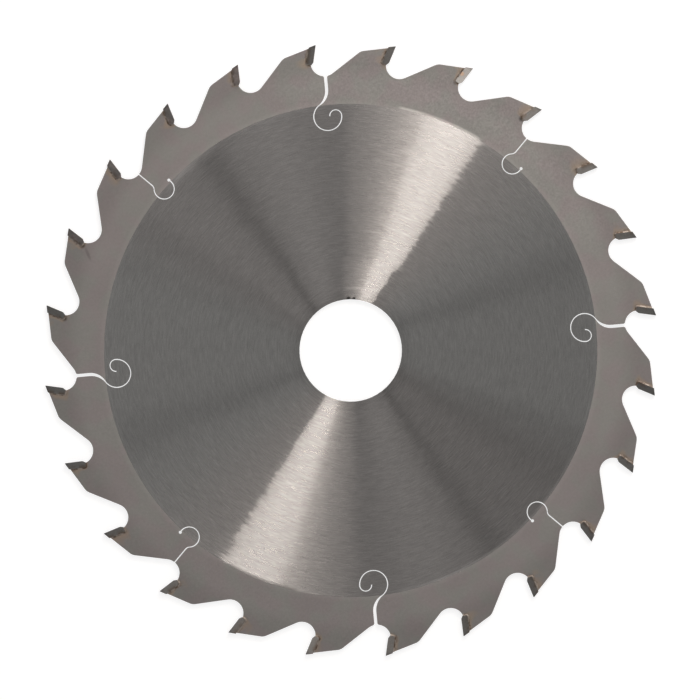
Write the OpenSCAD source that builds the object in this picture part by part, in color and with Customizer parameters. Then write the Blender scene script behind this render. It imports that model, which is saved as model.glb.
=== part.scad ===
// Circular saw blade with carbide tips brazed to a steel plate, in millimetres.
// The bore axis is Z and the middle of the plate is at z = 0. The first cutting edge is at +Y.
// Seen from +Z the blade cuts clockwise, so every cutting face looks clockwise.

/* [Blade] */
// Diameter over the cutting edges
blade_d = 180; // [170:1:200]
// Width of the cut, which is the length of a cutting edge
kerf = 2.0; // [1.8:0.05:2.6]
// Number of teeth
teeth = 24; // [16:8:24]

/* [Plate] */
// Thickness of the ground disc round the bore
plate_t = 1.4; // [1.2:0.05:1.5]
// Diameter of the bore that fits the arbor
bore_d = 30; // [16:0.5:40]
// Diameter of the ground disc
disc_d = 144.4; // [120:0.2:150]
// Drop from a face of the disc to the rim on that side
rim_drop = 0.04; // [0.02:0.01:0.1]

/* [Teeth] */
// Angle by which a cutting face leans forward of its radius
hook_angle = 14; // [8:1:20]
// Slope of the land behind a tip, from the tangent at the cutting edge
land_slope = 15; // [12:0.5:20]
// Slope of the back of a tooth, from the same tangent
back_slope = 46.5; // [42:0.5:52]
// Radius of the shoulder between the land and the back
shoulder_r = 3; // [1:0.5:5]
// Radius of the gullet in front of a tooth
gullet_r = 4; // [3.6:0.1:4.6]
// Distance from the cutting edge down to the gullet centre, along the cutting face
gullet_depth = 4.75; // [4.4:0.05:5.4]
// Distance of the gullet centre in front of the cutting face
gullet_ahead = 3.15; // [2.9:0.05:3.6]

/* [Tips] */
// Length of a tip along its cutting face
tip_l = 6.0; // [5.5:0.1:7]
// Thickness of a tip from its cutting face to its back
tip_t = 1.9; // [1.6:0.1:2.6]
// Radius of the inner back corner of a tip
tip_r = 0.4; // [0.2:0.05:0.7]
// Length of the bevel at the foot of a cutting face
tip_bevel_l = 0.9; // [0.4:0.1:1.4]
// Depth of that bevel into the tip
tip_bevel_t = 0.5; // [0.2:0.05:0.8]
// Clearance angle of the top of a tip behind its cutting edge
top_clearance = 14; // [8:1:18]
// Height of the back edge of a tip above the land
tip_stand = 0.4; // [0.2:0.05:0.9]
// Side clearance angle from the cutting face to the back of a tip
side_back = 3; // [1:0.5:4]
// Side clearance angle from the cutting edge towards the bore
side_in = 0.8; // [0.4:0.1:1.2]

/* [Brazing] */
// Thickness of the brazed layer between a tip and its seat
braze_t = 0.15; // [0.08:0.01:0.25]
// Height of the brazed fillet on the side of the rim
fillet_h = 0.11; // [0.05:0.01:0.2]
// Width of the brazed fillet on the side of the rim
fillet_w = 0.3; // [0.1:0.05:0.6]

/* [Relief slots] */
// Number of scroll slots, and of hook slots halfway between them
slot_pairs = 4; // [2, 4]
// Width of the fine cuts
cut_w = 0.3; // [0.2:0.05:0.5]

/* [Scroll slots] */
// Width of the mouth at the gullet
mouth_w = 0.9; // [0.6:0.1:1.6]
// Radius of the lips of the mouth
mouth_r = 0.6; // [0.3:0.1:1]
// Distance from the gullet floor in to the centre of the scroll
scroll_depth = 11.8; // [10.5:0.1:15]
// Distance of that centre from the middle of the mouth, against the cutting direction
scroll_side = 0.4; // [0:0.1:1.5]
// Radius of the bend from the mouth to the scroll
scroll_bend_r = 5.2; // [3:0.1:7]
// Radius of the scroll
scroll_r = 4.1; // [3.6:0.1:5.5]
// Radius of the half turn that ends the scroll
curl_r = 1.75; // [1:0.05:2]

/* [Hook slots] */
// Distance from the gullet floor in to the centre of the hook
hook_depth = 8.4; // [7:0.1:12]
// Distance of that centre from the straight cut, in the cutting direction
hook_side = 1.45; // [0.5:0.05:2.4]
// Radius of the bend from the straight cut to the hook
hook_bend_r = 1.6; // [0.6:0.1:2]
// Radius of the hook
hook_r = 2.95; // [2.5:0.05:4]
// Angle by which the hook rises past level before it ends
hook_rise = 12; // [0:1:40]
// Diameter of the hole that ends the hook
hook_end_d = 0.9; // [0.5:0.05:1.2]

/* [Hidden] */
$fn = 96;
blade_r = blade_d / 2;
pitch = 360 / teeth;
rim_half = plate_t / 2 - rim_drop;
// Height of the shapes that cut right through the plate
through = 2 * plate_t;
// Overlap of a cutting shape past the outside of the plate
over = 3;
far_r = blade_r * 1.05;
// Angle by which a scroll starts early, inside the bend before it
lap = 1.5;

steel = [0.46, 0.44, 0.42];
carbide = [0.36, 0.355, 0.345];
solder = [0.62, 0.52, 0.40];

function direction(a) = [cos(a), sin(a)];
function turned(p, a) = [p.x * cos(a) - p.y * sin(a), p.x * sin(a) + p.y * cos(a)];
// A point given from the cutting edge: x in front of the cutting face, y outwards along it
function from_edge(p) = [0, blade_r] + turned(p, -hook_angle);
// Where the line through p at angle a meets the line through q at angle b
function meet(p, a, q, b) =
    p + cross(q - p, direction(b)) / cross(direction(a), direction(b)) * direction(a);
// How far out a bend leaves the straight before it runs into a larger turn of the other hand
function bend_rise(bend_r, turn_r, across) = sqrt(pow(bend_r + turn_r, 2) - pow(across, 2));

// Gullet in front of a tooth
gullet_c = from_edge([gullet_ahead, -gullet_depth]);
gullet_lag = atan2(gullet_c.x, gullet_c.y);
gullet_centre_r = norm(gullet_c);
gullet_floor_r = gullet_centre_r - gullet_r;

// Land and back of a tooth, down to the gullet behind it
land_start = from_edge([-(tip_t + braze_t), -(tip_t * tan(hook_angle + top_clearance) + tip_stand)]);
land_front = meet(land_start, land_slope, [0, blade_r], 90 - hook_angle);
gullet_behind = turned(gullet_c, pitch);
back_foot = gullet_behind + gullet_r * direction(back_slope - 90);
shoulder = meet(land_start, land_slope, back_foot, back_slope);
shoulder_l = shoulder_r * tan((back_slope - land_slope) / 2);
land_end = shoulder + shoulder_l * direction(land_slope);
back_top = shoulder - shoulder_l * direction(back_slope);
shoulder_c = land_end + shoulder_r * direction(land_slope - 90);

function numbered(word, i) = str(word, i < 10 ? "_0" : "_", i);

module at_tooth(i) {
    rotate((i - 1) * pitch) children();
}

module at_edge() {
    translate([0, blade_r]) rotate(-hook_angle) children();
}

// Outline of the back and foot of a tip, or of its seat when it is grown by the brazed layer
module tip_block(grow) {
    w = tip_t + grow;
    l = tip_l + grow;
    r = tip_r + grow;
    translate([r - w, -l]) square([w - r + gullet_ahead, l + over]);
    translate([-w, r - l]) square([w + gullet_ahead, l - r + over]);
    translate([r - w, r - l]) circle(r);
}

// Space over the land and the back of a tooth
module land_gap() {
    difference() {
        polygon([
            land_front,
            far_r * direction(90),
            far_r * direction(90 + pitch),
            gullet_behind,
            back_foot,
            back_top,
            land_end
        ]);
        translate(shoulder_c) circle(shoulder_r);
    }
}

// Space between a tooth and the one behind it, with the gullet and the tip seat of that one
module tooth_gap() {
    land_gap();
    translate(gullet_behind) circle(gullet_r);
    rotate(pitch) at_edge() tip_block(braze_t);
}

// A stretch of fine cut along an arc, counter-clockwise about the origin
module arc_cut(r, from, sweep) {
    reach = 2 * (r + cut_w);
    left_out = 360 - sweep;
    difference() {
        circle(r + cut_w / 2);
        circle(r - cut_w / 2);
        polygon([[0, 0], for (i = [0 : 4]) reach * direction(from - left_out * i / 4)]);
    }
}

// A straight slot of width w along the y axis
module straight_cut(w, y_from, y_to) {
    translate([-w / 2, y_from]) square([w, y_to - y_from]);
}

// Flared mouth that rounds the lips between a slot and the gullet
module mouth_gap() {
    lip_x = mouth_w / 2 + mouth_r;
    lip_y = gullet_centre_r - sqrt(pow(gullet_r + mouth_r, 2) - pow(lip_x, 2));
    difference() {
        polygon([[0, gullet_centre_r], [-lip_x, lip_y], [lip_x, lip_y]]);
        for (side = [-1, 1]) translate([side * lip_x, lip_y]) circle(mouth_r);
    }
}

// Bend that narrows from the mouth to the fine cut between two arcs, both upright at the top.
// The fine cut goes on from inner_end and outer_end at right angles to the direction out.
module narrowing_bend(top_y, inner_end, outer_end, out) {
    half = mouth_w / 2;
    inner_dx = -half - inner_end.x;
    outer_dx = half - outer_end.x;
    inner_r = (pow(inner_dx, 2) + pow(top_y - inner_end.y, 2)) / (2 * inner_dx);
    outer_r = (pow(outer_dx, 2) + pow(top_y - outer_end.y, 2)) / (2 * outer_dx);
    past_inner = inner_end + cut_w * (direction(out) + direction(out + 90));
    past_outer = outer_end + cut_w * (direction(out + 90) - direction(out));
    difference() {
        intersection() {
            translate([half - outer_r, top_y]) circle(outer_r);
            polygon([
                [-mouth_w, top_y],
                past_inner,
                past_outer,
                [mouth_w, past_outer.y],
                [mouth_w, top_y]
            ]);
        }
        translate([-half - inner_r, top_y]) circle(inner_r);
    }
}

// Wide mouth, narrowing bend, and a scroll that ends in a half turn
module scroll_slot() {
    centre = [-scroll_side, gullet_floor_r - scroll_depth];
    across = scroll_bend_r - scroll_side;
    rise = bend_rise(scroll_bend_r, scroll_r, across);
    start = atan2(rise, -across);
    inner_end = centre + (scroll_r + cut_w / 2) * direction(start);
    outer_end = centre + (scroll_r - cut_w / 2) * direction(start);
    mouth_gap();
    straight_cut(mouth_w, centre.y + rise, gullet_centre_r);
    narrowing_bend(centre.y + rise, inner_end, outer_end, start);
    translate(centre) arc_cut(scroll_r, start - lap, 360 - start + lap);
    translate(centre + [scroll_r - curl_r, 0]) arc_cut(curl_r, 0, 180);
}

// Straight fine cut, and a hook that ends in a round hole
module hook_slot() {
    centre = [hook_side, gullet_floor_r - hook_depth];
    across = hook_bend_r + hook_side;
    rise = bend_rise(hook_bend_r, hook_r, across);
    start = atan2(rise, -across);
    straight_cut(cut_w, centre.y + rise, gullet_centre_r);
    translate([-hook_bend_r, centre.y + rise]) arc_cut(hook_bend_r, start - 180, 180 - start);
    translate(centre) arc_cut(hook_r, start, 360 + hook_rise - start);
    translate(centre + hook_r * direction(hook_rise)) circle(d = hook_end_d);
}

// Round plate with a ground disc and a lower rim, before the teeth are cut
module blank() {
    difference() {
        union() {
            cylinder(h = 2 * rim_half, r = blade_r, center = true);
            cylinder(h = plate_t, d = disc_d, center = true);
        }
        cylinder(h = through, d = bore_d, center = true);
    }
}

module saw_plate() {
    color(steel)
        difference() {
            blank();
            for (i = [1 : teeth])
                at_tooth(i) linear_extrude(through, center = true) tooth_gap();
            for (i = [0 : slot_pairs - 1])
                rotate(i * 360 / slot_pairs - gullet_lag) {
                    linear_extrude(through, center = true) scroll_slot();
                    rotate(180 / slot_pairs) linear_extrude(through, center = true) hook_slot();
                }
        }
}

// Side view of a tip, with its cutting edge at the origin
module tip_outline() {
    intersection() {
        tip_block(0);
        polygon([
            [0, 0],
            [0, tip_bevel_l - tip_l],
            [-2 * tip_bevel_t, -tip_bevel_l - tip_l],
            [-2 * tip_t, -tip_bevel_l - tip_l],
            [-2 * tip_t, -2 * tip_t * tan(hook_angle + top_clearance)]
        ]);
    }
}

// Everything below the side of a tip, which slopes away from the cutting edge both ways
module side_relief() {
    reach = 2 * tip_l;
    translate([0, 0, kerf / 2])
        rotate([side_in, -side_back, 0])
            translate([-reach, -reach, -2 * kerf]) cube([2 * reach, 2 * reach, 2 * kerf]);
}

module carbide_tip() {
    color(carbide)
        at_edge()
            intersection() {
                linear_extrude(2 * kerf, center = true) tip_outline();
                side_relief();
                mirror([0, 0, 1]) side_relief();
            }
}

// Section of the brazed layer, from the tip at x = 0 out over both faces of the rim
module braze_section() {
    polygon([
        [0, -rim_half - fillet_h],
        [braze_t + fillet_w, -rim_half],
        [braze_t, -rim_half],
        [braze_t, rim_half],
        [braze_t + fillet_w, rim_half],
        [0, rim_half + fillet_h]
    ]);
}

// Straight stretch of the brazed layer, from the origin along -y, with the tip on its +x side
module braze_leg(l) {
    rotate([90, 0, 0]) linear_extrude(l) mirror([1, 0]) braze_section();
}

module braze() {
    color(solder)
        difference() {
            at_edge() {
                translate([-tip_t, over]) braze_leg(over + tip_l - tip_r);
                translate([tip_r - tip_t, tip_r - tip_l])
                    rotate(180) rotate_extrude(angle = 90) translate([tip_r, 0]) braze_section();
                translate([tip_r - tip_t, -tip_l])
                    rotate(90) braze_leg(tip_t - tip_r + gullet_ahead);
            }
            linear_extrude(through, center = true) {
                land_gap();
                translate(gullet_c) circle(gullet_r);
            }
        }
}

saw_plate();
for (i = [1 : teeth]) {
    at_tooth(i) carbide_tip();
    at_tooth(i) braze();
}
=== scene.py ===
"""Carbide-tipped circular saw blade: finishes for its plate, tips and brazed joints, and a plain studio."""

import math
from typing import NamedTuple

import bmesh
import bpy
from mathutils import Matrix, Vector


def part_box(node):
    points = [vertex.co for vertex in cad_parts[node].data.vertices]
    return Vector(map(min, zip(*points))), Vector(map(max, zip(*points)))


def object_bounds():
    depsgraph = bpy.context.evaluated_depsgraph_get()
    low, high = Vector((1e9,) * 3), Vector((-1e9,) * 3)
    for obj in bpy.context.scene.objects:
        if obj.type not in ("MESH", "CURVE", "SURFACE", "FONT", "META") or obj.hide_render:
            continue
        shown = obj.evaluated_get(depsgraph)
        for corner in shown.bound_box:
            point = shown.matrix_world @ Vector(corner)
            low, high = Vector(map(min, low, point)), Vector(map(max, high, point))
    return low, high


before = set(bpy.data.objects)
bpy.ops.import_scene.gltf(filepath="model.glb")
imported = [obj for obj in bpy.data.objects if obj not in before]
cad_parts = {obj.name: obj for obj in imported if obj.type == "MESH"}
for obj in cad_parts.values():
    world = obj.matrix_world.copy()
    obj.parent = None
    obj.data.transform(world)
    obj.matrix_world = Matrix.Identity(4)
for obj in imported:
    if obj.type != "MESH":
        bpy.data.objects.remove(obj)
cad_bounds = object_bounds()

bl_info = {
    "name": "Circular saw blade finish",
    "version": (1, 0, 0),
    "blender": (4, 5, 0),
    "location": "View3D > Sidebar > Saw blade",
    "description": "Ground steel, carbide and brazed finishes for a circular saw blade, with a studio stage",
    "category": "Object",
}

MM = 0.001


class Stretch(NamedTuple):
    """Part of the way round the blade whose finish or painted light and shade differs: its directions, the
    half widths at which it ends and is full, in degrees, and the change of level there."""

    directions: tuple
    ends: float
    full: float
    change: float


# Teeth with soot at the foot of the tip, and teeth with a brown film on the tip
SOOTY_TEETH = Stretch(directions=(48.0, 157.0), ends=18.2, full=9.9, change=1.0)
FILMED_TIPS = Stretch(directions=(128.0,), ends=32.9, full=21.6, change=1.0)
# Border of the disc that is worn bright, and its edge: where the rim's step has a painted highlight, where it
# is not ground, or where it is worn
WORN_BORDER = Stretch(directions=(124.0,), ends=9.9, full=2.0, change=0.42)
PAINTED_STEP_HIGHLIGHT = Stretch(directions=(62.0,), ends=10.9, full=9.0, change=0.85)
GROUND_SHORT = Stretch(directions=(242.0,), ends=9.5, full=7.0, change=-0.5)
WORN_EDGE = Stretch(directions=(302.0,), ends=30.0, full=15.0, change=0.3)
# Painted shade on parts of the disc, and a scratch beside the bore
PAINTED_SHADE_PART = Stretch(directions=(319.0,), ends=20.0, full=3.0, change=-0.12)
PAINTED_SHADE_STRIPE = Stretch(directions=(58.0,), ends=12.0, full=5.0, change=-0.06)
SCRATCH = Stretch(directions=(79.0,), ends=12.0, full=6.0, change=0.25)

# Direction in degrees towards which painted light makes the disc's colour lighter, with painted shade on the
# far side
PAINTED_LIGHT_SIDE = 110.0
# Anisotropy and roughness of the finer and of the coarser grooves on the disc
GROOVES = ((0.95, 0.23), (0.9, 0.45))
# Direction in which the grooves swerve most near the bore, in degrees
SWERVE_TOWARDS = 58.0
# Swerves of the grooves: radius up to which each is full, radius where it ends, in millimetres, and angle
SWERVES = ((17.0, 23.0, math.radians(1.3)), (25.3, 28.3, math.radians(2.2)))
# How much of a swerve changes from side to side of the bore, and how much is the same all round
SWERVE_SIDED = 0.6
SWERVE_EVEN = 0.4
# Strength of the streaks and of the grain on the disc
DISC_STREAKS = 0.5
DISC_GRAIN = 0.18
# Strength of the clouds and of the grain on the rim
RIM_CLOUDS = 0.16
RIM_GRAIN = 0.14
# Width of the ring round the bore that the flanges have dulled, and radius of the scratch, in millimetres
FLANGE_RING = 4.5
SCRATCH_RADIUS = 18.25
# Distances inside the edge of the disc, in millimetres: the worn border, the brighter one, and where a mark
# on the edge itself starts and is full
WORN_WIDTH = 3.0
BRIGHT_WIDTH = 1.6
EDGE_START = 0.9
EDGE_FULL = 0.3
# Distances outside it: where the rim's brighter border starts and ends, and where the painted highlight on
# the rim's step ends
RIM_BORDER = (0.3, 1.6)
STEP_HIGHLIGHT_END = 0.9
# Specks of dirt at the bore: direction in degrees and size in millimetres, and their distance from its edge
SPECKS = ((85.9, 0.6), (79.8, 0.5))
SPECK_OFFSET = 0.2
# Radii between which the rim grows duller towards the teeth, in millimetres
DULLER_RIM = (78.0, 85.0)
# Least and most reach of the tan tint and of the brown scale from a brazed joint, in millimetres
TINT_REACH = (0.9, 4.2)
SCALE_REACH = (0.2, 1.6)
# How much faster the tint and scale end below a tip than behind it
FASTER_BELOW = 1.8
# Soot at the foot of the other tips, as a share of that on the sooty teeth
LEAST_SOOT = 0.15
# One brown run below a tip: middle and half sizes in millimetres, turn in degrees
RUN_MIDDLE = (-73.2, 36.8, 0.0)
RUN_HALF_SIZES = (3.0, 0.7, 1.0)
RUN_TURN = -73.0
# Bare spot at the back of the tip with the painted highlight: place in front of the face and outwards along
# it, in millimetres
BARE_SPOT = (-1.6, -3.2, 0.0)

# Least upward part of the normal of a face that counts as flat
FLAT_ENOUGH = 0.9

SPECK_COLOUR = (0.012, 0.010, 0.009)
SOOT_COLOUR = (0.03, 0.024, 0.02)
COPPER_COLOUR = (0.50, 0.33, 0.22)
CUT_COLOURS = ((0.12, 0.11, 0.10), (0.20, 0.185, 0.17))
# Warmer and cooler casts of the rim's steel
RIM_CASTS = ((1.015, 0.975, 0.985), (0.985, 1.015, 0.99))

# Softbox: its sides, the distance of its middle from the bore axis, and the distances from that axis
# at which it starts to shine and is full, in metres
KEY_SIDES = (2.0, 1.2)
KEY_DISTANCE = 0.70
KEY_SHINE = (0.28, 0.5)
KEY_COLOUR = (1.0, 0.91, 0.848)
# Angles past the sharp edge of the softbox, in degrees: its middle, half the width of that edge,
# where it starts to fade, the angle in which it fades by a factor of e, and where the rest of it ends
KEY_MIDDLE = 5.0
KEY_SOFTNESS = 0.2
KEY_FADE_START = 15.8
KEY_FADE = 7.5
KEY_END = (30.3, 35.8)
# Faint shine before the sharp edge: angles past it where this starts and is full, in degrees, and its level
KEY_FORE = (-38.0, 10.0)
KEY_FORE_LEVEL = 0.17
# Small lamp: width, distance from the bore axis and height, in metres, and angle past the same sharp edge
FILL_SIZE = 0.08
FILL_DISTANCE = 0.30
FILL_HEIGHT = 0.35
FILL_ANGLE = 8.0
FILL_COLOUR = (1.0, 0.95, 0.91)
# Light and dark panels round the studio: direction and half width in degrees, and change of the level
PANELS = (
    (13.8, 9.0, -0.13),
    (102.0, 15.0, 0.215),
    (118.6, 6.5, -0.27),
    (133.0, 8.0, 0.05),
    (142.0, 9.0, -0.09),
    (151.5, 5.0, -0.07),
)
# Direction of the warm part of the studio, and the half widths where it is full and ends, in degrees
WARM_MIDDLE = 92.0
WARM_HALF_WIDTHS = (44.0, 66.0)
STUDIO_COLOUR = (1.0, 0.995, 0.985)
WARM_COLOUR = (1.0, 0.955, 0.94)
FLOOR_COLOUR = (0.35, 0.35, 0.35)


class Graph:
    """Short calls for building a node tree."""

    def __init__(self, tree):
        self.tree = tree
        tree.nodes.clear()

    def add(self, kind, **settings):
        node = self.tree.nodes.new(kind)
        for name, value in settings.items():
            setattr(node, name, value)
        return node

    def feed(self, socket, value):
        """Links an output to a socket, or sets the socket where the value is a plain one."""
        if isinstance(value, bpy.types.NodeSocket):
            self.tree.links.new(value, socket)
        else:
            socket.default_value = value

    def math(self, operation, *values):
        node = self.add("ShaderNodeMath", operation=operation)
        for socket, value in zip(node.inputs, values):
            self.feed(socket, value)
        return node.outputs[0]

    def plus(self, total, *values):
        for value in values:
            total = self.math("ADD", total, value)
        return total

    def minus(self, first, second):
        return self.math("SUBTRACT", first, second)

    def times(self, product, *values):
        for value in values:
            product = self.math("MULTIPLY", product, value)
        return product

    def most(self, first, second):
        return self.math("MAXIMUM", first, second)

    def vector(self, operation, *values):
        node = self.add("ShaderNodeVectorMath", operation=operation)
        for socket, value in zip(node.inputs, values):
            self.feed(socket, value)
        return node.outputs["Value" if operation in {"LENGTH", "DISTANCE", "DOT_PRODUCT"} else "Vector"]

    def scaled(self, vector, factor):
        node = self.add("ShaderNodeVectorMath", operation="SCALE")
        self.feed(node.inputs[0], vector)
        self.feed(node.inputs["Scale"], factor)
        return node.outputs[0]

    def split(self, vector):
        node = self.add("ShaderNodeSeparateXYZ")
        self.feed(node.inputs[0], vector)
        return node.outputs

    def joined(self, x, y, z):
        node = self.add("ShaderNodeCombineXYZ")
        for socket, value in zip(node.inputs, (x, y, z)):
            self.feed(socket, value)
        return node.outputs[0]

    def smooth(self, value, low, high, start=0.0, end=1.0):
        """A soft step from start, at low, to end, at high."""
        node = self.add("ShaderNodeMapRange", interpolation_type="SMOOTHSTEP")
        for socket, given in zip(node.inputs, (value, low, high, start, end)):
            self.feed(socket, given)
        return node.outputs[0]

    def noise(self, place, per_mm, detail=0.0):
        """Noise with so many changes per millimetre."""
        node = self.add("ShaderNodeTexNoise")
        self.feed(node.inputs["Vector"], place)
        node.inputs["Scale"].default_value = per_mm
        node.inputs["Detail"].default_value = detail
        return node.outputs["Fac"]

    def mix(self, factor, first, second, blend="MIX"):
        node = self.add("ShaderNodeMix", data_type="RGBA", blend_type=blend)
        self.feed(node.inputs[0], factor)
        for socket, value in zip(node.inputs[6:8], (first, second)):
            self.feed(socket, value)
        return node.outputs[2]

    def shaded(self, base, level):
        """A colour with all its channels multiplied by the level."""
        return self.mix(1.0, base, self.joined(level, level, level), "MULTIPLY")

    def place(self):
        """The point on the blade in millimetres, measured from the middle of the bore."""
        return self.scaled(self.add("ShaderNodeTexCoord").outputs["Object"], 1 / MM)

    def metal(self, **inputs):
        """A metal shader on the output, with its sockets fed by name."""
        node = self.add("ShaderNodeBsdfPrincipled")
        node.inputs["Metallic"].default_value = 1.0
        for name, value in inputs.items():
            self.feed(node.inputs[name.replace("_", " ").title()], value)
        self.show(node)

    def show(self, node, kind="ShaderNodeOutputMaterial"):
        output = self.add(kind)
        self.tree.links.new(node.outputs[0], output.inputs["Surface"])


def new_material(name):
    material = bpy.data.materials.new(name)
    material.use_nodes = True
    return material, Graph(material.node_tree)


def colour(channels, level=1.0):
    """A colour as a socket takes it, with its channels multiplied by the level."""
    return (*(channel * level for channel in channels), 1.0)


def pointing(direction, distance=1.0):
    """The point at a distance from the bore axis in a direction given in degrees."""
    turn = math.radians(direction)
    return (distance * math.cos(turn), distance * math.sin(turn), 0.0)


class Round:
    """Polar directions on the blade, for finishes that follow circles round the bore."""

    def __init__(self, graph):
        self.graph = graph
        self.place = graph.place()
        self.x, self.y, _ = graph.split(self.place)
        self.flat = graph.joined(self.x, self.y, 0.0)
        self.radius = graph.vector("LENGTH", self.flat)
        self.out = graph.vector("NORMALIZE", self.flat)
        out_x, out_y, _ = graph.split(self.out)
        self.along = graph.joined(graph.times(out_y, -1.0), out_x, 0.0)

    def noise_across(self, place, per_mm, detail):
        """Noise that changes with the place and, faster, from ring to ring about the bore."""
        step = self.graph.joined(0.0, 0.0, self.graph.times(self.radius, per_mm))
        return self.graph.noise(self.graph.vector("ADD", place, step), 1.0, detail)

    def rings(self, across, per_radian, detail=0.0):
        """Noise in rings about the bore: changes per millimetre across them, and per radian along them."""
        return self.noise_across(self.graph.scaled(self.out, per_radian), across, detail)

    def streaks(self, across, along, detail):
        """Noise in streaks round the bore: changes per millimetre across them and along them."""
        return self.noise_across(self.graph.scaled(self.place, along), across, detail)

    def towards(self, direction):
        """The cosine of the angle from a direction, as seen from the bore axis."""
        return self.graph.vector("DOT_PRODUCT", self.out, pointing(direction))

    def change(self, stretch):
        """The change of level in a stretch, which is nought away from its directions."""
        low = math.cos(math.radians(stretch.ends))
        high = math.cos(math.radians(stretch.full))
        share = 0.0
        for direction in stretch.directions:
            share = self.graph.most(self.graph.smooth(self.towards(direction), low, high), share)
        return self.graph.times(share, stretch.change)

    def tooth_place(self, look):
        """The point seen from the cutting edge of its tooth: in front of the face, and outwards along it."""
        graph = self.graph
        angle = graph.math("DEGREES", graph.math("ARCTAN2", self.y, self.x))
        early = graph.plus(angle, look.fold_ahead - 90.0)
        behind = graph.minus(graph.math("FLOORED_MODULO", early, 360.0 / look.teeth), look.fold_ahead)
        turn = graph.math("RADIANS", behind)
        x = graph.times(self.radius, graph.math("SINE", turn), -1.0)
        y = graph.minus(graph.times(self.radius, graph.math("COSINE", turn)), look.edge_radius)
        cosine = math.cos(look.hook_angle)
        sine = math.sin(look.hook_angle)
        ahead = graph.minus(graph.times(x, cosine), graph.times(y, sine))
        outward = graph.plus(graph.times(x, sine), graph.times(y, cosine))
        return ahead, outward


def nodes_named(word):
    """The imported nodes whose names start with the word, in order."""
    found = [o for name, o in sorted(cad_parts.items()) if name.startswith(word)]
    if not found:
        raise RuntimeError(f"the packed model has no {word}")
    return found


class BladeLook(bpy.types.PropertyGroup):
    teeth: bpy.props.IntProperty(
        name="Teeth", description="Number of teeth", default=len(nodes_named("carbide_tip"))
    )
    edge_radius: bpy.props.FloatProperty(
        name="Edge radius", description="Radius of the cutting edges, in millimetres",
        default=cad_bounds[1].y / MM,
    )
    hook_angle: bpy.props.FloatProperty(
        name="Hook angle", description="Forward lean of a cutting face",
        default=math.radians(14), unit="ROTATION",
    )
    fold_ahead: bpy.props.FloatProperty(
        name="Fold ahead", description="Degrees in front of a cutting edge that count as its tooth",
        default=3.0,
    )
    bore_radius: bpy.props.FloatProperty(
        name="Bore radius", description="Radius of the bore, in millimetres", default=15.0
    )
    disc_radius: bpy.props.FloatProperty(
        name="Disc radius", description="Radius of the ground disc, in millimetres", default=72.2
    )
    rim_step: bpy.props.FloatProperty(
        name="Rim step", description="Drop from the disc to the rim", default=0.04 * MM, unit="LENGTH"
    )
    tip_length: bpy.props.FloatProperty(name="Tip length", description="In millimetres", default=6.0)
    tip_thickness: bpy.props.FloatProperty(name="Tip thickness", description="In millimetres", default=1.9)
    groove_stray: bpy.props.FloatProperty(
        name="Groove stray", description="How far single grooves turn from their neighbours", default=0.044
    )
    groove_drift: bpy.props.FloatProperty(
        name="Groove drift", description="How far all grooves run off the circle, in millimetres", default=1.3
    )
    # Painted light and shade: per millimetre, how much lighter the disc's colour is painted towards one side
    # and darker towards the other
    painted_side_light: bpy.props.FloatProperty(
        name="Side shade", description="How much brighter one side of the disc is ground, per millimetre",
        default=0.0011,
    )
    disc_colour: bpy.props.FloatVectorProperty(
        name="Disc colour", description="Ground steel of the disc", subtype="COLOR",
        default=(0.50, 0.49, 0.477),
    )
    rim_colour: bpy.props.FloatVectorProperty(
        name="Rim colour", description="Duller steel of the rim", subtype="COLOR",
        default=(0.305, 0.290, 0.281),
    )
    heat_colour: bpy.props.FloatVectorProperty(
        name="Heat tint", description="Tan of the steel beside a brazed joint", subtype="COLOR",
        default=(0.335, 0.268, 0.208),
    )
    scale_colour: bpy.props.FloatVectorProperty(
        name="Scale", description="Dark brown scale that brazing leaves", subtype="COLOR",
        default=(0.125, 0.092, 0.07),
    )
    carbide_colour: bpy.props.FloatVectorProperty(
        name="Carbide", description="Ground carbide", subtype="COLOR", default=(0.185, 0.181, 0.173)
    )
    film_colour: bpy.props.FloatVectorProperty(
        name="Film", description="Brown film that brazing leaves on some tips", subtype="COLOR",
        default=(0.30, 0.262, 0.247),
    )
    braze_colour: bpy.props.FloatVectorProperty(
        name="Braze", description="Brazing alloy", subtype="COLOR", default=(0.325, 0.285, 0.25)
    )
    # Painted highlight: the tip whose carbide colour is painted twice as bright, as though it caught the
    # lamps
    painted_highlight_tip: bpy.props.StringProperty(
        name="Bright tip", description="The tip that is freshly ground", default="carbide_tip_23"
    )


class StageLook(bpy.types.PropertyGroup):
    camera_turn: bpy.props.FloatProperty(
        name="Camera turn", description="Turn of the camera about its view",
        default=math.radians(-6.56), unit="ROTATION",
    )
    camera_lens: bpy.props.FloatProperty(
        name="Lens", description="Focal length in millimetres", default=250.0
    )
    frame_width: bpy.props.FloatProperty(
        name="Frame width", description="Width that the picture takes in", default=205.04 * MM, unit="LENGTH"
    )
    off_centre: bpy.props.FloatVectorProperty(
        name="Off centre", description="Place of the camera beside the bore axis, along the picture's sides",
        size=2, default=(-0.205 * MM, 0.132 * MM),
    )
    world_level: bpy.props.FloatProperty(name="World level", description="Light from all round", default=0.5)
    key_level: bpy.props.FloatProperty(
        name="Key level", description="Power of the softbox", default=42.6, unit="POWER"
    )
    key_height: bpy.props.FloatProperty(
        name="Key height", description="Height of the softbox", default=0.9, unit="LENGTH"
    )
    key_edge: bpy.props.FloatProperty(
        name="Key edge", description="Direction of the sharp edge of the softbox, in degrees", default=50.4
    )
    fill_level: bpy.props.FloatProperty(
        name="Fill level", description="Power of the small lamp", default=0.23, unit="POWER"
    )
    floor_size: bpy.props.FloatProperty(
        name="Floor size", description="Width of the floor", default=8.0, unit="LENGTH"
    )
    floor_glow: bpy.props.FloatProperty(
        name="Floor glow", description="White that the floor shows beside the light on it", default=0.78
    )


def dress(piece, *materials):
    """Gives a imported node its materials."""
    piece.data.materials.clear()
    for material in materials:
        piece.data.materials.append(material)


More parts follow.
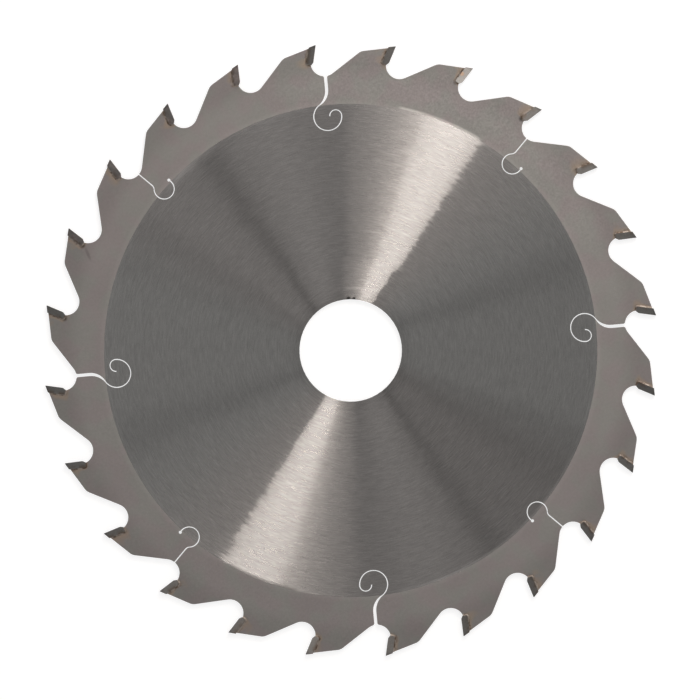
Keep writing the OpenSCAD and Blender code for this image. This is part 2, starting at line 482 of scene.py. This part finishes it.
def groove_direction(graph, round_, look):
    """The way that the grooves run: round the bore and a little off the circle, more so near the bore."""
    wander = round_.rings(across=2.3, per_radian=10.0, detail=2.0)
    wander = graph.plus(wander, round_.rings(across=1.1, per_radian=14.3))
    stray = graph.times(graph.minus(wander, 1.0), look.groove_stray)
    drift = graph.plus(graph.math("DIVIDE", look.groove_drift, round_.radius), stray)
    sided = graph.plus(graph.times(round_.towards(SWERVE_TOWARDS), SWERVE_SIDED), SWERVE_EVEN)
    for full, end, angle in SWERVES:
        swerve = graph.smooth(round_.radius, low=full, high=end, start=angle, end=0.0)
        drift = graph.plus(drift, graph.times(swerve, sided))
    return graph.vector("ADD", round_.along, graph.scaled(round_.out, drift))


def disc_border(graph, round_, look):
    """Level of the disc from bore to edge: dulled by the flanges, scratched, and worn or unground outside."""
    radius = round_.radius
    bore = look.bore_radius
    edge = look.disc_radius
    worn = graph.times(graph.smooth(radius, edge - WORN_WIDTH, edge), round_.change(WORN_BORDER))
    on_edge = graph.plus(round_.change(GROUND_SHORT), round_.change(WORN_EDGE))
    on_edge = graph.times(on_edge, graph.smooth(radius, edge - EDGE_START, edge - EDGE_FULL))
    level = graph.plus(graph.smooth(radius, edge - BRIGHT_WIDTH, edge, start=1.0, end=1.06), worn, on_edge)
    level = graph.times(level, graph.smooth(radius, bore, bore + FLANGE_RING, start=0.9, end=1.0))
    off_scratch = graph.math("ABSOLUTE", graph.minus(radius, SCRATCH_RADIUS))
    scratch = graph.smooth(off_scratch, low=0.1, high=0.55, start=1.0, end=0.0)
    return graph.plus(level, graph.times(scratch, round_.change(SCRATCH)))


def disc_steel(graph, round_, look):
    """Colour of the ground disc: streaks and grain, its uneven border, painted light on one side and painted
    shade on the other and on two parts, and specks of dirt.
    """
    streaks = graph.times(round_.streaks(across=2.4, along=0.31, detail=3.0), DISC_STREAKS)
    grain = graph.times(graph.noise(round_.place, per_mm=2.0, detail=2.0), DISC_GRAIN)
    even = 1.0 - (DISC_STREAKS + DISC_GRAIN) / 2
    # Painted light and shade: lighter towards one side, darker towards the other, and painted shade on two
    # parts
    side = graph.times(round_.towards(PAINTED_LIGHT_SIDE), round_.radius, look.painted_side_light)
    side = graph.plus(side, 1.0, round_.change(PAINTED_SHADE_PART), round_.change(PAINTED_SHADE_STRIPE))
    level = graph.times(graph.plus(streaks, grain, even), disc_border(graph, round_, look), side)
    steel = graph.shaded(colour(look.disc_colour), level)
    for direction, size in SPECKS:
        middle = pointing(direction, look.bore_radius + SPECK_OFFSET)
        away = graph.vector("DISTANCE", round_.flat, middle)
        dirt = graph.smooth(away, low=0.5 * size, high=1.3 * size, start=0.9, end=0.0)
        steel = graph.mix(dirt, steel, colour(SPECK_COLOUR))
    return steel


def disc_material(look):
    """Steel ground in fine rings, with finer and coarser grooves side by side."""
    material, graph = new_material("ground_disc")
    round_ = Round(graph)
    steel = disc_steel(graph, round_, look)
    groove = groove_direction(graph, round_, look)
    coarser = graph.minus(round_.streaks(across=2.7, along=0.26, detail=2.0), 0.5)
    blend = graph.add("ShaderNodeMixShader")
    graph.feed(blend.inputs[0], graph.plus(graph.times(coarser, 0.5), 0.3))
    for socket, (anisotropy, roughness) in zip(blend.inputs[1:], GROOVES):
        ground = graph.add("ShaderNodeBsdfAnisotropic")
        ground.inputs["Anisotropy"].default_value = anisotropy
        ground.inputs["Roughness"].default_value = roughness
        graph.feed(ground.inputs["Color"], steel)
        graph.feed(ground.inputs["Tangent"], groove)
        graph.feed(socket, ground.outputs[0])
    graph.show(blend)
    return material


def brown_run(graph, round_):
    """One brown run below a tip: a long soft oval."""
    oval = graph.add("ShaderNodeMapping", vector_type="TEXTURE")
    graph.feed(oval.inputs["Vector"], round_.flat)
    oval.inputs["Location"].default_value = RUN_MIDDLE
    oval.inputs["Rotation"].default_value = (0.0, 0.0, math.radians(RUN_TURN))
    oval.inputs["Scale"].default_value = RUN_HALF_SIZES
    return graph.smooth(graph.vector("LENGTH", oval.outputs[0]), low=0.1, high=1.0, start=0.36, end=0.0)


def heat_marks(graph, round_, look):
    """How tan the heat of brazing has left the steel, how much brown scale is on it, and how sooty it is."""
    ahead, outward = round_.tooth_place(look)
    back = graph.most(graph.minus(graph.times(ahead, -1.0), look.tip_thickness), 0.0)
    below = graph.most(graph.minus(graph.times(outward, -1.0), look.tip_length), 0.0)
    away = graph.vector("LENGTH", graph.joined(back, graph.times(below, FASTER_BELOW), 0.0))
    clouds = graph.noise(round_.place, per_mm=0.22, detail=2.0)
    tint_reach = graph.smooth(clouds, 0.34, 0.66, *TINT_REACH)
    tint = graph.smooth(away, low=0.2, high=tint_reach, start=1.0, end=0.0)
    patches = graph.noise(round_.place, per_mm=0.9, detail=2.0)
    scale_reach = graph.smooth(patches, 0.40, 0.70, *SCALE_REACH)
    scale = graph.smooth(away, low=0.1, high=scale_reach, start=1.0, end=0.0)
    foot = (-0.8 * look.tip_thickness, -look.tip_length - 0.25, 0.0)
    from_foot = graph.vector("DISTANCE", graph.joined(ahead, outward, 0.0), foot)
    soot = graph.smooth(from_foot, low=0.3, high=1.2, start=1.0, end=0.0)
    soot = graph.times(soot, graph.most(round_.change(SOOTY_TEETH), LEAST_SOOT))
    return tint, scale, graph.most(soot, brown_run(graph, round_))


def rim_steel(graph, round_, clouds, look):
    """Colour of the rim: clouds and grain, a brighter inner border, a painted highlight on the step in one
    place, and duller steel towards the teeth.
    """
    outside = graph.minus(round_.radius, look.disc_radius)
    border_start, border_end = RIM_BORDER
    border = graph.smooth(outside, border_start, border_end, start=0.07, end=0.0)
    # Painted highlight where the step from the disc down to the rim catches the lamps
    step_highlight = graph.smooth(outside, border_start, STEP_HIGHLIGHT_END, start=1.0, end=0.0)
    step_highlight = graph.times(step_highlight, round_.change(PAINTED_STEP_HIGHLIGHT))
    grain = graph.times(graph.noise(round_.place, per_mm=1.3, detail=2.0), RIM_GRAIN)
    even = 1.0 - (RIM_CLOUDS + RIM_GRAIN) / 2
    level = graph.plus(graph.times(clouds, RIM_CLOUDS), grain, border, step_highlight, even)
    level = graph.times(level, graph.smooth(round_.radius, *DULLER_RIM, start=1.0, end=0.86))
    cast = graph.smooth(graph.noise(round_.place, per_mm=0.16, detail=1.0), 0.38, 0.62)
    cast = graph.mix(cast, *(colour(channels) for channels in RIM_CASTS))
    return graph.mix(1.0, colour(look.rim_colour), graph.shaded(cast, level), "MULTIPLY")


def rim_material(look):
    """Duller steel, with a painted highlight at its step in one place, and tanned and sooted by the brazing
    beside each tip.
    """
    material, graph = new_material("rim_steel")
    round_ = Round(graph)
    clouds = graph.noise(round_.place, per_mm=0.06, detail=3.0)
    steel = rim_steel(graph, round_, clouds, look)
    tint, scale, soot = heat_marks(graph, round_, look)
    steel = graph.mix(graph.times(tint, 0.8), steel, colour(look.heat_colour))
    steel = graph.mix(graph.times(scale, 0.6), steel, colour(look.scale_colour))
    steel = graph.mix(graph.times(soot, 0.75), steel, colour(SOOT_COLOUR))
    lean = graph.times(graph.minus(graph.noise(round_.place, per_mm=2.0, detail=2.0), 0.5), 0.2)
    normal = graph.add("ShaderNodeNewGeometry").outputs["Normal"]
    leaning = graph.vector("SUBTRACT", normal, graph.scaled(round_.out, lean))
    graph.metal(
        base_color=steel,
        roughness=graph.plus(graph.times(clouds, 0.10), 0.42),
        normal=graph.vector("NORMALIZE", leaning),
    )
    return material


def wall_material():
    """Cut edges of the plate, darker than its faces."""
    material, graph = new_material("cut_steel")
    grain = graph.noise(graph.place(), per_mm=1.5, detail=2.0)
    graph.metal(
        base_color=graph.mix(grain, *(colour(channels) for channels in CUT_COLOURS)),
        roughness=graph.plus(graph.times(grain, 0.2), 0.35),
    )
    return material


def carbide_material(name, look, level=1.0, stained=0.7, bare=0.0):
    """Dark ground carbide, under a brown film on some teeth, with stains or a bare spot at the back. A level
    above one paints a highlight over the whole tip.
    """
    material, graph = new_material(name)
    round_ = Round(graph)
    ahead, outward = round_.tooth_place(look)
    grain = graph.noise(round_.place, per_mm=2.2, detail=3.0)
    shade = graph.smooth(graph.noise(round_.place, per_mm=0.045), 0.35, 0.65, start=0.85, end=1.1)
    worn = graph.smooth(outward, low=-1.4, high=-0.2, start=1.0, end=0.72)
    shade = graph.times(graph.plus(graph.times(grain, 0.6), 0.70), shade, worn)
    film = graph.smooth(graph.noise(round_.place, per_mm=0.4, detail=1.0), 0.3, 0.6, start=0.2, end=1.0)
    film = graph.times(film, round_.change(FILMED_TIPS))
    carbide = graph.mix(film, colour(look.carbide_colour, level), colour(look.film_colour, level))
    carbide = graph.shaded(carbide, shade)
    rear = graph.smooth(ahead, -look.tip_thickness, -0.3 * look.tip_thickness, start=1.0, end=0.0)
    patches = graph.noise(round_.place, per_mm=0.5, detail=2.0)
    stain = graph.times(rear, graph.smooth(patches, 0.40, 0.62, start=0.0, end=stained))
    carbide = graph.mix(stain, carbide, colour(look.scale_colour))
    from_spot = graph.vector("DISTANCE", graph.joined(ahead, outward, 0.0), BARE_SPOT)
    spot = graph.smooth(from_spot, low=0.3, high=0.9, start=bare, end=0.0)
    carbide = graph.mix(spot, carbide, colour(COPPER_COLOUR))
    ground = graph.add("ShaderNodeBsdfAnisotropic")
    ground.inputs["Anisotropy"].default_value = 0.5
    graph.feed(ground.inputs["Color"], carbide)
    graph.feed(ground.inputs["Roughness"], graph.plus(graph.times(grain, 0.14), 0.42))
    graph.feed(ground.inputs["Tangent"], round_.along)
    graph.show(ground)
    return material


def braze_material(look):
    """Cream alloy under patches of brown scale."""
    material, graph = new_material("brazing_alloy")
    place = graph.place()
    patches = graph.noise(place, per_mm=0.8, detail=3.0)
    bump = graph.add("ShaderNodeBump")
    bump.inputs["Strength"].default_value = 0.25
    bump.inputs["Distance"].default_value = 0.05 * MM
    graph.feed(bump.inputs["Height"], graph.noise(place, per_mm=3.0, detail=2.0))
    scale = graph.smooth(patches, 0.36, 0.66)
    graph.metal(
        base_color=graph.mix(scale, colour(look.braze_colour), colour(look.scale_colour)),
        roughness=graph.plus(graph.times(patches, 0.2), 0.38),
        normal=bump.outputs[0],
    )
    return material


class BLADE_OT_finish_plate(bpy.types.Operator):
    """Gives the plate its ground disc, duller rim and cut edges"""

    bl_idname = "blade.finish_plate"
    bl_label = "Finish plate"

    def execute(self, context):
        look = context.scene.blade_look
        disc_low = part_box("saw_plate")[1].z - look.rim_step / 2
        disc_slot, rim_slot, wall_slot = range(3)
        for piece in nodes_named("saw_plate"):
            dress(piece, disc_material(look), rim_material(look), wall_material())
            for face in piece.data.polygons:
                if abs(face.normal.z) < FLAT_ENOUGH:
                    face.material_index = wall_slot
                else:
                    face.material_index = disc_slot if abs(face.center.z) > disc_low else rim_slot
        return {"FINISHED"}


class BLADE_OT_finish_tips(bpy.types.Operator):
    """Gives the carbide tips their ground faces, one of them with a painted highlight that makes it brighter
    than the rest
    """

    bl_idname = "blade.finish_tips"
    bl_label = "Finish tips"

    def execute(self, context):
        look = context.scene.blade_look
        plain = carbide_material("ground_carbide", look)
        # Painted highlight: one tip's carbide colour is doubled, as though it caught the lamps, and it has a
        # bare copper spot
        bright = carbide_material("carbide_painted_highlight", look, level=2.0, stained=0.1, bare=0.7)
        for piece in nodes_named("carbide_tip"):
            dress(piece, bright if piece.name == look.painted_highlight_tip else plain)
        return {"FINISHED"}


class BLADE_OT_finish_brazing(bpy.types.Operator):
    """Gives the brazed joints their cream alloy with brown scale"""

    bl_idname = "blade.finish_brazing"
    bl_label = "Finish brazing"

    def execute(self, context):
        material = braze_material(context.scene.blade_look)
        for piece in nodes_named("braze"):
            dress(piece, material)
        return {"FINISHED"}


def floor_material(stage):
    """White where it is seen, with the shadow of the blade still on it."""
    material, graph = new_material("white_floor")
    matt = graph.add("ShaderNodeBsdfDiffuse")
    matt.inputs["Color"].default_value = colour(FLOOR_COLOUR)
    rays = graph.add("ShaderNodeLightPath").outputs
    seen = graph.most(rays["Is Camera Ray"], rays["Is Glossy Ray"])
    seen = graph.most(seen, rays["Is Transmission Ray"])
    glow = graph.add("ShaderNodeEmission")
    graph.feed(glow.inputs["Strength"], graph.times(seen, stage.floor_glow))
    both = graph.add("ShaderNodeAddShader")
    graph.feed(both.inputs[0], matt.outputs[0])
    graph.feed(both.inputs[1], glow.outputs[0])
    graph.show(both)
    return material


def make_floor(stage):
    mesh = bpy.data.meshes.new("floor")
    shape = bmesh.new()
    bmesh.ops.create_grid(shape, x_segments=1, y_segments=1, size=stage.floor_size / 2)
    shape.to_mesh(mesh)
    shape.free()
    mesh.materials.append(floor_material(stage))
    floor = bpy.data.objects.new("floor", mesh)
    floor.location.z = cad_bounds[0].z
    bpy.context.scene.collection.objects.link(floor)


def new_lamp(name, shape, level):
    """An area lamp that the camera doesn't see."""
    lamp = bpy.data.lights.new(name, "AREA")
    lamp.shape = shape
    lamp.energy = level
    holder = bpy.data.objects.new(name, lamp)
    holder.visible_camera = False
    bpy.context.scene.collection.objects.link(holder)
    return holder, lamp


def make_key(stage):
    """A softbox with one sharp edge towards the bore axis, which fades out round the blade."""
    softbox, lamp = new_lamp("softbox", "RECTANGLE", stage.key_level)
    lamp.size, lamp.size_y = KEY_SIDES
    lamp.use_nodes = True
    graph = Graph(lamp.node_tree)
    x, y, _ = graph.split(graph.add("ShaderNodeNewGeometry").outputs["Position"])
    past = graph.minus(graph.math("DEGREES", graph.math("ARCTAN2", y, x)), stage.key_edge)
    lit = graph.smooth(past, -KEY_SOFTNESS, KEY_SOFTNESS)
    fade = graph.most(graph.minus(past, KEY_FADE_START), 0.0)
    fade = graph.math("EXPONENT", graph.times(fade, -1 / KEY_FADE))
    fade = graph.times(fade, graph.smooth(past, *KEY_END, start=1.0, end=0.0))
    fore = graph.times(graph.smooth(past, *KEY_FORE), graph.minus(1.0, lit), KEY_FORE_LEVEL)
    distance = graph.vector("LENGTH", graph.joined(x, y, 0.0))
    shine = graph.times(graph.plus(graph.times(lit, fade), fore), graph.smooth(distance, *KEY_SHINE))
    glow = graph.add("ShaderNodeEmission")
    glow.inputs["Color"].default_value = colour(KEY_COLOUR)
    graph.feed(glow.inputs["Strength"], shine)
    graph.show(glow, "ShaderNodeOutputLight")
    middle = stage.key_edge + KEY_MIDDLE
    softbox.location = pointing(middle, KEY_DISTANCE)
    softbox.location.z = stage.key_height
    softbox.rotation_euler.z = math.radians(middle - 90.0)


def make_fill(stage):
    """A small lamp close by on the same side, which lights the near side of the rim more than the far one."""
    fill, lamp = new_lamp("fill", "DISK", stage.fill_level)
    lamp.size = FILL_SIZE
    lamp.color = FILL_COLOUR
    fill.location = pointing(stage.key_edge + FILL_ANGLE, FILL_DISTANCE)
    fill.location.z = FILL_HEIGHT
    fill.rotation_euler = fill.location.to_track_quat("Z", "Y").to_euler()


def make_world(stage):
    """Even light from all round, with soft panels and a warmer part on both sides of the blade."""
    world = bpy.data.worlds.new("studio")
    world.use_nodes = True
    graph = Graph(world.node_tree)
    x, y, _ = graph.split(graph.add("ShaderNodeTexCoord").outputs["Generated"])
    angle = graph.math("DEGREES", graph.math("ARCTAN2", y, x))

    def away_from(middle):
        turned = graph.math("FLOORED_MODULO", graph.minus(angle, middle - 90.0), 180.0)
        return graph.math("ABSOLUTE", graph.minus(turned, 90.0))

    strength = 1.0
    for middle, half_width, change in PANELS:
        panel = graph.smooth(away_from(middle), low=0.0, high=half_width, start=change, end=0.0)
        strength = graph.plus(panel, strength)
    warm = graph.smooth(away_from(WARM_MIDDLE), *WARM_HALF_WIDTHS, start=1.0, end=0.0)
    surround = graph.add("ShaderNodeBackground")
    graph.feed(surround.inputs["Color"], graph.mix(warm, colour(STUDIO_COLOUR), colour(WARM_COLOUR)))
    graph.feed(surround.inputs["Strength"], graph.times(strength, stage.world_level))
    graph.show(surround, "ShaderNodeOutputWorld")
    bpy.context.scene.world = world


def make_camera(stage):
    camera = bpy.data.objects.new("camera", bpy.data.cameras.new("camera"))
    camera.data.lens = stage.camera_lens
    distance = stage.frame_width * stage.camera_lens / camera.data.sensor_width
    camera.rotation_euler.z = stage.camera_turn
    camera.location = Vector((*stage.off_centre, distance))
    camera.location.rotate(camera.rotation_euler)
    bpy.context.scene.collection.objects.link(camera)
    bpy.context.scene.camera = camera


class BLADE_OT_set_stage(bpy.types.Operator):
    """Makes the floor, the lights and the camera above the blade"""

    bl_idname = "blade.set_stage"
    bl_label = "Set stage"

    def execute(self, context):
        stage = context.scene.stage_look
        make_floor(stage)
        make_key(stage)
        make_fill(stage)
        make_world(stage)
        make_camera(stage)
        context.scene.view_settings.view_transform = "Standard"
        return {"FINISHED"}


class VIEW3D_PT_saw_blade(bpy.types.Panel):
    bl_label = "Saw blade"
    bl_idname = "VIEW3D_PT_saw_blade"
    bl_space_type = "VIEW_3D"
    bl_region_type = "UI"
    bl_category = "Saw blade"

    def draw(self, context):
        for operator in operators:
            self.layout.operator(operator.bl_idname)
        for group in (context.scene.blade_look, context.scene.stage_look):
            for name in group.bl_rna.properties.keys():
                if name not in {"rna_type", "name"}:
                    self.layout.prop(group, name)


operators = (BLADE_OT_finish_plate, BLADE_OT_finish_tips, BLADE_OT_finish_brazing, BLADE_OT_set_stage)
classes = (BladeLook, StageLook, *operators, VIEW3D_PT_saw_blade)


def register():
    for item in classes:
        bpy.utils.register_class(item)
    bpy.types.Scene.blade_look = bpy.props.PointerProperty(type=BladeLook)
    bpy.types.Scene.stage_look = bpy.props.PointerProperty(type=StageLook)


def unregister():
    del bpy.types.Scene.stage_look
    del bpy.types.Scene.blade_look
    for item in reversed(classes):
        bpy.utils.unregister_class(item)


def main():
    register()
    bpy.ops.blade.finish_plate()
    bpy.ops.blade.finish_tips()
    bpy.ops.blade.finish_brazing()
    bpy.ops.blade.set_stage()


if __name__ == "__main__":
    main()
